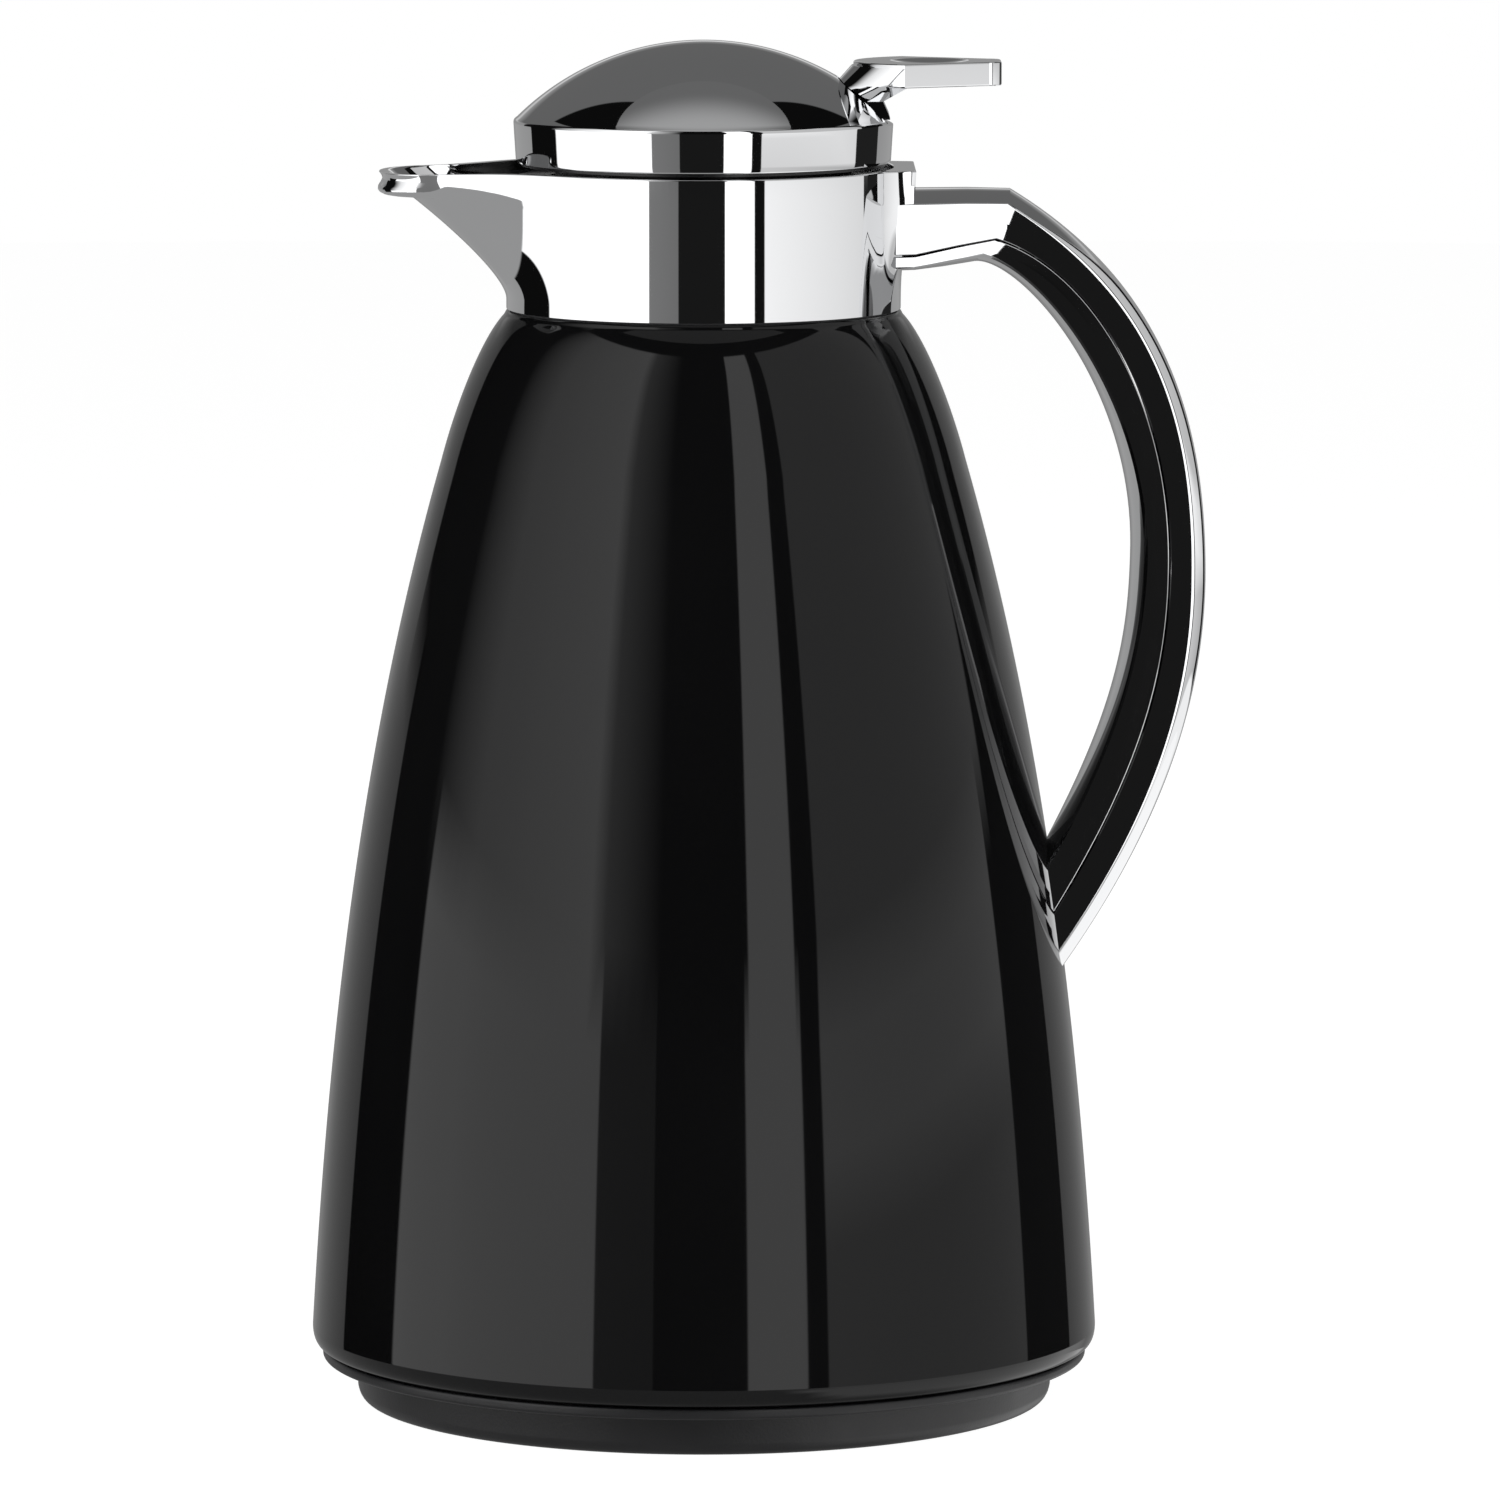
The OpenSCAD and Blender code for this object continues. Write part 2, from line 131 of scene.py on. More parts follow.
def mesh_from(name, points, faces):
    """Mesh object from millimetre points, merged where they meet, with outward faces."""
    mesh = bpy.data.meshes.new(name)
    mesh.from_pydata([tuple(c * MM for c in p) for p in points], [], faces)
    bm = bmesh.new()
    bm.from_mesh(mesh)
    bmesh.ops.remove_doubles(bm, verts=bm.verts, dist=1e-7)
    bmesh.ops.recalc_face_normals(bm, faces=bm.faces)
    bm.to_mesh(mesh)
    bm.free()
    obj = bpy.data.objects.new(name, mesh)
    bpy.context.scene.collection.objects.link(obj)
    return obj


def lofted(name, loops, ring=False):
    """Skin over closed loops of points: a ring of loops, or a run with capped ends."""
    k, n = len(loops[0]), len(loops)
    faces = []
    for i in range(n if ring else n - 1):
        j = (i + 1) % n
        for a in range(k):
            b = (a + 1) % k
            faces.append((i * k + a, i * k + b, j * k + b, j * k + a))
    if not ring:
        faces.append(tuple(range(k - 1, -1, -1)))
        faces.append(tuple((n - 1) * k + a for a in range(k)))
    return mesh_from(name, [p for loop in loops for p in loop], faces)


def lathed(name, profile, segments=256):
    """A closed profile of (radius, height) points turned about the Z axis."""
    loops = []
    for i in range(segments):
        a = 2 * math.pi * i / segments
        loops.append([(r * math.cos(a), r * math.sin(a), z) for r, z in profile])
    return lofted(name, loops, ring=True)


def extruded(name, plan, z0, z1):
    """A plan outline of (x, y) points made solid from z0 to z1."""
    return lofted(name, [[(x, y, z) for x, y in plan] for z in (z0, z1)])


def hulled(name, points):
    """The smallest convex solid around millimetre points."""
    obj = mesh_from(name, points, [])
    bm = bmesh.new()
    bm.from_mesh(obj.data)
    result = bmesh.ops.convex_hull(bm, input=bm.verts)
    inside = {v for v in result["geom_interior"] if isinstance(v, bmesh.types.BMVert)}
    bmesh.ops.delete(bm, geom=list(inside), context="VERTS")
    bmesh.ops.dissolve_limit(bm, angle_limit=math.radians(0.5), verts=bm.verts,
                             edges=bm.edges)
    bmesh.ops.recalc_face_normals(bm, faces=bm.faces)
    bm.to_mesh(obj.data)
    bm.free()
    return obj


def block(name, low, high):
    """A box between two opposite corners."""
    return hulled(name, [(x, y, z) for x in (low[0], high[0]) for y in (low[1], high[1])
                         for z in (low[2], high[2])])


def settle(obj):
    """Applies the object's modifiers to its mesh."""
    graph = bpy.context.evaluated_depsgraph_get()
    mesh = bpy.data.meshes.new_from_object(obj.evaluated_get(graph))
    obj.modifiers.clear()
    obj.data = mesh


def combined(obj, others, operation):
    """Adds other solids to obj or cuts them from it, and removes them."""
    for other in others:
        modifier = obj.modifiers.new("join", "BOOLEAN")
        modifier.operation = operation
        modifier.solver = "EXACT"
        modifier.object = other
        bpy.context.view_layer.update()
        settle(obj)
        bpy.data.objects.remove(other)
    return obj


def rounded(obj, width, angle):
    """Rounds the edges sharper than angle, in degrees."""
    modifier = obj.modifiers.new("round", "BEVEL")
    modifier.width = width * MM
    modifier.segments = 3
    modifier.limit_method = "ANGLE"
    modifier.angle_limit = math.radians(angle)
    modifier.use_clamp_overlap = True
    bpy.context.view_layer.update()
    settle(obj)


def shaded(obj, angle):
    """Smooth shading, broken at edges sharper than angle, that keeps flat faces flat."""
    obj.data.shade_smooth()
    obj.data.set_sharp_from_angle(angle=math.radians(angle))
    modifier = obj.modifiers.new("normals", "WEIGHTED_NORMAL")
    modifier.keep_sharp = True
    modifier.weight = 100
    bpy.context.view_layer.update()
    settle(obj)


def finished(obj, material, body, slot, *nodes, angle=30):
    """Shades a new piece, gives it its material and lets it stand for its CAD nodes."""
    shaded(obj, angle)
    obj.data.materials.clear()
    obj.data.materials.append(material)
    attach(obj, body)
    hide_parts(*nodes)


# ---- materials -------------------------------------------------------------------------


def surface(name, dark, light, rough, grain, bump=0.0, bump_scale=0.0, **sockets):
    """Principled material whose colour and roughness vary softly over the surface.

    The colour lies between dark and light and the roughness between the two values of
    rough. Sockets of the shader are given by name, with _ for a space."""
    material = bpy.data.materials.new(name)
    material.use_nodes = True
    tree = material.node_tree
    shader = tree.nodes["Principled BSDF"]
    for socket, value in sockets.items():
        shader.inputs[socket.replace("_", " ")].default_value = value
    coordinates = tree.nodes.new("ShaderNodeTexCoord")

    def noise(scale, detail):
        node = tree.nodes.new("ShaderNodeTexNoise")
        node.inputs["Scale"].default_value = scale
        node.inputs["Detail"].default_value = detail
        tree.links.new(coordinates.outputs["Object"], node.inputs["Vector"])
        return node

    broad = noise(grain, 3.0)
    ramp = tree.nodes.new("ShaderNodeValToRGB")
    ramp.color_ramp.elements[0].position = 0.3
    ramp.color_ramp.elements[0].color = (*dark, 1)
    ramp.color_ramp.elements[1].position = 0.7
    ramp.color_ramp.elements[1].color = (*light, 1)
    tree.links.new(broad.outputs["Fac"], ramp.inputs["Fac"])
    tree.links.new(ramp.outputs["Color"], shader.inputs["Base Color"])
    spread = tree.nodes.new("ShaderNodeMapRange")
    spread.inputs["To Min"].default_value = rough[0]
    spread.inputs["To Max"].default_value = rough[1]
    tree.links.new(noise(grain * 2.7, 4.0).outputs["Fac"], spread.inputs["Value"])
    tree.links.new(spread.outputs["Result"], shader.inputs["Roughness"])
    if bump:
        height = tree.nodes.new("ShaderNodeBump")
        height.inputs["Strength"].default_value = bump
        height.inputs["Distance"].default_value = 0.0002
        tree.links.new(noise(bump_scale, 2.0).outputs["Fac"], height.inputs["Height"])
        tree.links.new(height.outputs["Normal"], shader.inputs["Normal"])
    return material


def glow(name, level):
    """Material that gives off even light."""
    material = bpy.data.materials.new(name)
    material.use_nodes = True
    tree = material.node_tree
    tree.nodes.clear()
    output = tree.nodes.new("ShaderNodeOutputMaterial")
    emission = tree.nodes.new("ShaderNodeEmission")
    emission.inputs["Color"].default_value = (level, level, level, 1)
    tree.links.new(emission.outputs["Emission"], output.inputs["Surface"])
    return material


chrome = surface("polished_chrome", (0.83, 0.835, 0.845), (0.86, 0.865, 0.875),
                 (0.015, 0.035), grain=25.0, Metallic=1.0)
gloss_black = surface("gloss_black", (0.0032, 0.0032, 0.0034), (0.0048, 0.0048, 0.005),
                      (0.02, 0.05), grain=12.0, IOR=1.41)
satin_black = surface("satin_black", (0.008, 0.008, 0.009), (0.012, 0.012, 0.013),
                      (0.32, 0.42), grain=90.0, bump=0.15, bump_scale=1800.0)
black_plastic = surface("black_plastic", (0.012, 0.012, 0.013), (0.018, 0.018, 0.019),
                        (0.22, 0.32), grain=60.0, bump=0.08, bump_scale=1500.0)
pale_plastic = surface("pale_plastic", (0.74, 0.73, 0.69), (0.8, 0.79, 0.75),
                       (0.3, 0.4), grain=80.0, bump=0.05, bump_scale=900.0)
silver_glass = surface("silvered_glass", (0.7, 0.73, 0.75), (0.78, 0.8, 0.82),
                       (0.03, 0.08), grain=30.0, Metallic=0.9, Coat_Weight=0.6)
dark_rubber = surface("dark_rubber", (0.03, 0.03, 0.032), (0.045, 0.045, 0.047),
                      (0.6, 0.75), grain=120.0, bump=0.2, bump_scale=1200.0)
pale_silicone = surface("pale_silicone", (0.74, 0.72, 0.68), (0.8, 0.78, 0.74),
                        (0.45, 0.55), grain=90.0, bump=0.05, bump_scale=900.0,
                        Subsurface_Weight=0.15)
felt = surface("spacer_felt", (0.52, 0.48, 0.4), (0.64, 0.6, 0.52), (0.85, 0.95),
               grain=500.0, bump=0.6, bump_scale=2500.0)
plated_steel = surface("plated_steel", (0.55, 0.56, 0.57), (0.63, 0.64, 0.65),
                       (0.18, 0.3), grain=150.0, Metallic=1.0)
drawn_wire = surface("drawn_wire", (0.5, 0.5, 0.5), (0.6, 0.6, 0.6), (0.2, 0.32),
                     grain=300.0, Metallic=1.0)
zinc_steel = surface("zinc_steel", (0.38, 0.39, 0.41), (0.48, 0.49, 0.51), (0.3, 0.45),
                     grain=110.0, Metallic=1.0, bump=0.1, bump_scale=800.0)

FINISH = {
    "gloss_black_body": gloss_black, "satin_black_plastic": satin_black,
    "black_plastic": black_plastic, "pale_plastic": pale_plastic, "chrome": chrome,
    "silvered_glass": silver_glass, "dark_rubber": dark_rubber,
    "pale_silicone": pale_silicone, "spacer_felt": felt, "screw_steel": plated_steel,
    "spring_steel": drawn_wire, "bracket_steel": zinc_steel}

for part in frame["record"]["subparts"]:
    node = frame["nodes"][part["node"]]
    for material_slot in node.material_slots:
        material_slot.material = FINISH[part["material_slot"]]
    if not node.material_slots:
        node.data.materials.append(FINISH[part["material_slot"]])

# ---- body and base ---------------------------------------------------------------------

# outside of the body, from its top edge down
body_side = joined(
    [(NECK_R, SHELL_TOP)],
    curve((39.5, 216.6), (43.8, 212.1), (49.0, 199.1), SHOULDER, 28),
    curve(SHOULDER, (68.0, 131.6), (74.8, 73.2), (BODY_R, 14.8), 64),
    curve((BODY_R, 14.8), (BODY_R, 12.6), (77.6, SHELL_BOTTOM), (76.0, SHELL_BOTTOM), 14))


def body_shell():
    """Hollow body, open below, with a flange inside its top and a round edge."""
    flange_t = 2.2
    rim = [(NECK_R, SHELL_TOP)] + curve((38.9, 217.55), (39.15, 217.4), (39.3, 216.9),
                                        (39.5, 216.6), 4)
    side = joined(rim, body_side[1:])
    inner = [(r - BODY_WALL, z) for r, z in reversed(body_side[2:])]
    flange = [(NECK_R - 0.3, SHELL_TOP - flange_t), (NECK_HOLE_R, SHELL_TOP - flange_t),
              (NECK_HOLE_R, SHELL_TOP)]
    return lathed("body_shell", side + inner + flange, 320)


def base():
    """Closing cup: a foot, a flange under the body, a spigot up into it and a floor."""
    step_r = 69.5
    spigot_r, spigot_wall, spigot_top = 73.3, 2.0, 18.0
    cup_r, floor_top, floor_bottom = 67.2, 5.4, 3.2
    foot_edge = curve((FOOT_R - 0.6, 0.0), (68.2, 0.0), (68.9, 0.9), (69.2, 2.6), 10)
    flange = joined(
        curve((step_r, FLANGE_BOTTOM - 0.5), (step_r, FLANGE_BOTTOM - 0.1),
              (69.7, FLANGE_BOTTOM), (70.1, FLANGE_BOTTOM), 4),
        curve((75.3, FLANGE_BOTTOM), (75.9, FLANGE_BOTTOM), (FLANGE_R, 8.7),
              (FLANGE_R, 9.2), 6),
        curve((FLANGE_R, 9.9), (FLANGE_R, 10.4), (76.0, FLANGE_TOP), (75.5, FLANGE_TOP), 6))
    inside = [(spigot_r, FLANGE_TOP), (spigot_r, spigot_top),
              (spigot_r - spigot_wall, spigot_top), (spigot_r - spigot_wall, FLANGE_TOP),
              (cup_r, FLANGE_TOP), (cup_r, floor_top), (0.0, floor_top),
              (0.0, floor_bottom), (62.0, floor_bottom), (64.0, 0.0)]
    return lathed("base", foot_edge + flange + inside, 256)


finished(body_shell(), gloss_black, "jug", "gloss_black_body", "outer_shell")
finished(base(), satin_black, "jug", "satin_black_plastic", "base_cup")

# ---- collar with its spout and handle boss ----------------------------------------------

SPOUT_R = 60.5          # the spout's tip, without its lip
SPOUT_ARC = 52.9        # degrees from the spout's middle to where it leaves the round
RIM_DROP = 0.8          # the rim is this much lower at the tip
RIM_EDGE = 0.2          # softening of the rim's two edges
LIP_START_R = 53.0      # the lip grows from here to the tip
BOSS_ARC = 40           # degrees from +X within which the handle boss lies
BOSS_HALF = 14.2        # half the width of its flat front
BOSS_FILLET = 7.0       # degrees taken by each of its concave flanks
BOSS_LOW = 218.0        # it comes out of the collar from here, where a little shows
BOSS_FULL = 237.0       # to here
BOSS_LEAST = 0.1

spout_plan = joined(
    curve((-23.5, 31.1), (-32.0, 25.0), (-42.0, 17.6), (-54.0, 13.6), 40),
    curve((-54.0, 13.6), (-58.2, 12.0), (-SPOUT_R, 6.4), (-SPOUT_R, 0.0), 40))
# angle from the middle of the spout against radius
spout_outline = sorted((math.degrees(math.atan2(y, -x)), math.hypot(x, y))
                       for x, y in spout_plan)
# underside of the spout in its middle, as radius by height
keel = [(z, r) for r, z in curve((COLLAR_R, 219.8), (38.9, 223.9), (49.8, 234.0),
                                 (58.3, 240.6), 120)]
keel += [(z, r) for r, z in curve((58.3, 240.6), (59.6, 241.6), (SPOUT_R, 243.0),
                                  (SPOUT_R, 245.0), 40)][1:]
# how far the lip stands out at the tip, outside and inside, by depth below the rim
lip_outside = [(0.0, 3.7), (0.3, 3.4), (0.8, 3.1), (1.4, 3.05), (2.1, 3.6), (2.9, 4.5),
               (3.6, 5.05), (4.0, 5.1), (4.35, 4.8), (4.5, 4.0), (4.58, 2.85),
               (4.64, 1.5), (4.75, 0.0)]
lip_inside = [(0.0, 3.3), (0.5, 2.7), (1.5, 1.7), (3.0, 0.7), (5.0, 0.0)]
# front of the handle boss, as x by height
boss_front = [(z, x) for x, z in curve((39.15, COLLAR_BOTTOM), (39.2, 227.0), (41.2, 233.0),
                                       (41.8, COLLAR_TOP), 40)]


def spout_share(z):
    """How far the keel has come out at height z, from 0 at the collar to 1 at the rim."""
    return (table_value(keel, z) - COLLAR_R) / (SPOUT_R - COLLAR_R)


def boss_radius(angle, front):
    """Outline of the handle boss at an angle from +X: flat at x = front, concave flanks."""
    edge = math.degrees(math.atan2(BOSS_HALF, front))
    if abs(angle) <= edge:
        return front / math.cos(math.radians(angle))
    corner = front / math.cos(math.radians(edge))
    fade = max(1 - (abs(angle) - edge) / BOSS_FILLET, 0)
    return COLLAR_R + (corner - COLLAR_R) * fade ** 2


def collar_radius(angle, z):
    """Outer radius of the collar at an angle from +X, in degrees, without the lip."""
    from_spout = 180 - abs(angle)
    if from_spout < SPOUT_ARC:
        full = table_value(spout_outline, from_spout)
        return mix(COLLAR_R, full, max(spout_share(z), 0))
    if abs(angle) < BOSS_ARC:
        boss = boss_radius(angle, table_value(boss_front, z))
        return mix(COLLAR_R, boss, mix(BOSS_LEAST, 1.0, eased(z, BOSS_LOW, BOSS_FULL)))
    return COLLAR_R


def collar_section(angle):
    """Closed outline of the collar's wall at one angle, as (radius, height) points."""
    from_spout = 180 - abs(angle)
    out_here = collar_radius(angle, COLLAR_TOP)
    drop = RIM_DROP * eased(out_here, COLLAR_R, SPOUT_R) if from_spout < SPOUT_ARC else 0
    rim = COLLAR_TOP - drop
    lip = eased(out_here, LIP_START_R, SPOUT_R)
    # even rows up the wall, then closer ones where the lip curls over
    depths = ([rim - COLLAR_BOTTOM - 0.2 * i for i in range(3)]
              + [rim - COLLAR_BOTTOM - 0.4 - 0.5 * i for i in range(1, 43)]
              + [5.2, 4.9, 4.75, 4.64, 4.58, 4.5, 4.35, 4.2, 4.0, 3.8, 3.6, 3.25, 2.9,
                 2.5, 2.1, 1.75, 1.4, 1.1, 0.8, 0.55, 0.3, 0.18, 0.08, 0.02])
    outside = []
    for depth in depths:
        z = rim - depth
        edge = RIM_EDGE * (1 - depth / 0.18) ** 2 if depth < 0.18 else 0
        outside.append((collar_radius(angle, z) + lip * table_value(lip_outside, depth)
                        - edge, z))
    outside.append((outside[-1][0] - 0.15, rim))
    inside = []
    for depth in (0.0, 0.15, 0.4, 0.8, 1.3, 2.0, 3.0, 4.0, 5.0, 6.5, 8.0, 10.0, 12.5, 15.0,
                  17.5, 20.0, 22.5, 24.5):
        z = rim - depth
        edge = RIM_EDGE * (0.15 - depth) / 0.15 if depth < 0.15 else 0
        # behind the boss the collar stays round inside
        radius = (max(collar_radius(angle, z), COLLAR_R) if abs(angle) > BOSS_ARC
                  else COLLAR_R)
        inside.append((radius - COLLAR_WALL + lip * table_value(lip_inside, depth) + edge,
                       z))
    flange_top = 219.6
    flange = [(COLLAR_R - COLLAR_WALL, flange_top), (NECK_HOLE_R, flange_top),
              (NECK_HOLE_R, COLLAR_BOTTOM), (COLLAR_R - 0.3, COLLAR_BOTTOM)]
    return outside + inside + flange


def collar():
    """Sections all round, half a degree apart at the spout and the boss."""
    loops = []
    angle = -180.0
    while angle < 180.0:
        a = math.radians(angle)
        loops.append([(r * math.cos(a), r * math.sin(a), z)
                      for r, z in collar_section(angle)])
        angle += 0.5 if abs(angle) < 32 or abs(angle) > 124 else 1.0
    return lofted("collar_and_spout", loops, ring=True)


finished(collar(), chrome, "jug", "chrome", "collar", angle=38)

# ---- handle ------------------------------------------------------------------------------

ROOT_X = 37.8           # the handle starts inside the boss
STATIONS = 44           # sections along each curve of the handle
ROOT_HALF = 14.35       # half its width at the collar
GRIP_HALF = 11.6        # and at the grip
BEND_X = 60.0
ROOT_LENGTH = 18.3
SEAM_GAP = 0.15
SEAM_CHAMFER = 0.35
GROOVE = 3.3            # the shallow groove along the seam reaches this far to each side
FULL_DEPTH = 7.4        # a finger half shallower than this has its details scaled down
SHARP_ABOVE, ROUND_BELOW = 240.0, 222.0     # heights between which the back corner changes
SOFT_ABOVE, SOFT_BELOW = 165.0, 115.0       # heights between which it grows softer still

# lines of the back, the seam and the finger side in the handle's middle plane
handle_back = joined([(ROOT_X, 241.6), (41.7, 241.6), (52.0, 241.7)],
                     curve((60.6, 241.5), (91.9, 222.6), (99.6, 195.0), (99.5, 164.4),
                           STATIONS),
                     curve((99.5, 164.4), (99.1, 136.3), (88.9, 110.3), (66.0, 79.5),
                           STATIONS))
handle_seam = joined([(ROOT_X, 229.2), (41.7, 229.3), (50.0, 231.0)],
                     curve((57.5, 232.3), (77.0, 226.2), (92.7, 199.0), (92.0, 166.4),
                           STATIONS),
                     curve((92.0, 166.4), (91.6, 143.0), (85.0, 121.8), (62.0, 87.0),
                           STATIONS))
handle_finger = joined([(ROOT_X, 225.5), (41.7, 225.6), (47.0, 226.2)],
                       curve((52.7, 227.1), (60.9, 229.7), (85.9, 203.0), (84.6, 168.4),
                             STATIONS),
                       curve((84.6, 168.4), (84.1, 149.9), (81.1, 133.3), (60.0, 97.0),
                             STATIONS))


def half_width(x, z):
    """Half the handle's width: it narrows from the collar to the bend, and softly there."""
    t = (BEND_X - x) / ROOT_LENGTH
    bend_softness = 0.08
    widening = 0.5 * (t + math.sqrt(t * t + bend_softness)) * eased(z, 180.0, 220.0)
    return mix(GRIP_HALF, ROOT_HALF, widening)


def shell_section(depth, half, is_back, sharpness, softness):
    """U-shaped section of a handle shell, as (y, height above the seam) points.

    depth is the height of its middle and half its half width. sharpness goes from 0, a
    round corner at the back, to 1, a crowned back with an edge. softness, from 0 to 1,
    widens the round corner."""
    scale = min(1.0, depth / FULL_DEPTH)
    groove = GROOVE * (1.0 if is_back else scale)
    right = [(half - SEAM_CHAMFER, SEAM_GAP), (half - 0.16, SEAM_GAP + 0.06)]
    right += [(half - 0.08 * (1 - t), SEAM_GAP + 0.2 + (groove - 0.4) * t)
              for t in (0.0, 0.25, 0.5, 0.75, 1.0)]
    if is_back:
        out = 0.03
        round_y = mix(2.7, 0.5, sharpness) + 1.3 * softness
        round_h = mix(3.0, 0.5, sharpness) + 0.4 * softness
        crown = mix(0.35, 2.1, sharpness)
        side_top = depth - crown - round_h
        right += [(half + out, groove + 0.1), (half + out, groove + 0.3)]
        right += [(half + out, mix(groove + 0.3, side_top, t)) for t in (0.5, 1.0)]
        edge = half - round_y
        turns = 16
        for i in range(1, turns + 1):
            a = math.pi / 2 * i / turns
            right.append((edge + (round_y + out) * math.cos(a),
                          side_top + round_h * math.sin(a)))
    else:
        out = 0.01
        crown, cut_h, cut_y = 2.4 * scale, 0.8 * scale, 0.95 * scale
        side_top = depth - crown - cut_h
        right += [(half + out, groove + 0.1), (half + out, side_top - 0.1),
                  (half, side_top + 0.05), (half - cut_y, depth - crown - 0.04)]
        edge = half - cut_y - 0.1
    steps = 24
    top = [(y, depth - crown * (y / edge) ** 2)
           for y in [edge * (1 - 2 * i / steps) for i in range(steps + 1)]]
    if is_back:
        top = top[1:-1]     # the round corners end where the crown starts
    inner_half = half - HANDLE_WALL - 1.2
    inner_steps = 12
    inner = [(y, max(depth - HANDLE_WALL - (crown + 1.0) * (y / half) ** 2, SEAM_GAP + 0.3))
             for y in [inner_half * (-1 + 2 * i / inner_steps)
                       for i in range(inner_steps + 1)]]
    left = [(-y, h) for y, h in reversed(right)]
    return (right + top + left + [(-inner_half, SEAM_GAP)] + inner
            + [(inner_half, SEAM_GAP)])


def handle_shell(name, outer_edge, is_back):
    """One half of the handle, its sections square to the seam, trimmed inside the body."""
    loops = []
    for seam, edge in zip(handle_seam, outer_edge):
        depth = math.dist(seam, edge)
        up = ((edge[0] - seam[0]) / depth, (edge[1] - seam[1]) / depth)
        section = shell_section(depth, half_width(*seam), is_back,
                                eased(edge[1], ROUND_BELOW, SHARP_ABOVE),
                                eased(edge[1], SOFT_ABOVE, SOFT_BELOW))
        loops.append([(seam[0] + up[0] * h, y, seam[1] + up[1] * h) for y, h in section])
    shell = lofted(name, loops)
    inset = [(max(r - 0.4, 0.1), z) for r, z in body_side]
    cutter = lathed("cutter", inset + [(0.0, SHELL_BOTTOM), (0.0, SHELL_TOP)], 256)
    return combined(shell, [cutter], "DIFFERENCE")


finished(handle_shell("handle_back_shell", handle_back, True), chrome, "jug",
         "chrome", "handle_outer_shell", angle=24)
finished(handle_shell("handle_finger_shell", handle_finger, False), chrome, "jug",
         "chrome", "handle_inner_shell", angle=24)

# ---- thumb lever and lid cap ---------------------------------------------------------------

FRONT_CORNER = 62       # degrees on each side that the lever's round front spans

# half width, x of the front's corners, x of the back, and height, from the plate down
LEVER_LEVELS = [(LEVER_HALF, PLATE_FRONT_X - 0.4, PLATE_FRONT_X, PLATE_TOP - 0.9),
                (12.4, PLATE_FRONT_X - 3.6, 40.4, PLATE_TOP - PLATE_T + 0.2),
                (WEB_HALF, PLATE_FRONT_X - 7.4, WEB_BACK_X, WEB_BOTTOM)]


def lever_front(half, x, steps=32):
    """Round front towards the spout, between corners that stand at x."""
    corner = math.radians(FRONT_CORNER)
    out = []
    for i in range(steps + 1):
        a = corner * (1 - 2 * i / steps)
        reach = (math.cos(a) - math.cos(corner)) / (1 - math.cos(corner))
        out.append((x - PLATE_TIP * reach, half * math.sin(a) / math.sin(corner)))
    return out


def lever_slice(half, x, back, z, grow):
    """Level outline of the lever, grown by a clearance."""
    plan = [(px - grow, py) for px, py in lever_front(half + grow, x)]
    plan += [(back + grow, -half - grow), (back + grow, half + grow)]
    return [(px, py, z) for px, py in plan]


def lever_loops():
    """Level outlines down the web, with steps between the stated ones."""
    steps = 6
    rows = [[mix(u, v, i / steps) for u, v in zip(upper, lower)]
            for upper, lower in zip(LEVER_LEVELS, LEVER_LEVELS[1:]) for i in range(steps)]
    return [lever_slice(*row, 0.0) for row in rows + [LEVER_LEVELS[-1]]]


def web_room(grow):
    """Points around the web with a clearance."""
    return [point for half, x, back, z in LEVER_LEVELS for level in (z - grow, z + grow)
            for point in lever_slice(half, x, back, level, grow)]


def lever_foot(grow=0.0, reach=0.0):
    """Points around the web's foot, with a clearance and a reach to the back."""
    top, bottom = WEB_HALF + grow, LEVER_FOOT_HALF + grow
    return ([(x, y, z) for x in (27.5 - grow, WEB_BACK_X + reach) for y in (-top, top)
             for z in (WEB_BOTTOM, WEB_BOTTOM + 0.4 + grow)]
            + [(x, y, z) for x in (30.5 - grow, WEB_BACK_X + 1.5 + reach)
               for y in (-bottom, bottom)
               for z in (LEVER_FOOT_BOTTOM - grow, LEVER_FOOT_BOTTOM + 0.4 - grow)])


def swung(points):
    """The points with the lever pressed right down."""
    a = math.radians(LEVER_SWING)
    out = []
    for x, y, z in points:
        dx, dz = x - PIVOT[0], z - PIVOT[1]
        out.append((PIVOT[0] + dx * math.cos(a) + dz * math.sin(a), y,
                    PIVOT[1] - dx * math.sin(a) + dz * math.cos(a)))
    return out


def plate_plan():
    """Outline of the thumb plate: a round front and a narrower end with round corners."""
    out = lever_front(LEVER_HALF, PLATE_FRONT_X, 48)
    steps = 8
    for side, start in ((-1, -90), (1, 0)):
        for i in range(steps + 1):
            a = math.radians(start + 90 * i / steps)
            out.append((PLATE_END_X - PLATE_CORNER + PLATE_CORNER * math.cos(a),
                        side * (PLATE_END_HALF - PLATE_CORNER)
                        + PLATE_CORNER * math.sin(a)))
    return out


def bar_along_y(name, x, z, radius, half_length):
    steps = 48
    turns = [2 * math.pi * i / steps for i in range(steps)]
    return lofted(name, [[(x + radius * math.cos(a), y, z + radius * math.sin(a))
                          for a in turns] for y in (-half_length, half_length)])


def ball(name, x, z, radius):
    """Lower part of a large sphere, for the hollow under the thumb."""
    profile = [(radius * math.sin(a), z - radius * math.cos(a))
               for a in [math.radians(i * 0.5) for i in range(60)]]
    obj = lathed(name, profile + [(0.0, profile[-1][1])], 128)
    obj.data.transform(Matrix.Translation((x * MM, 0, 0)))
    return obj


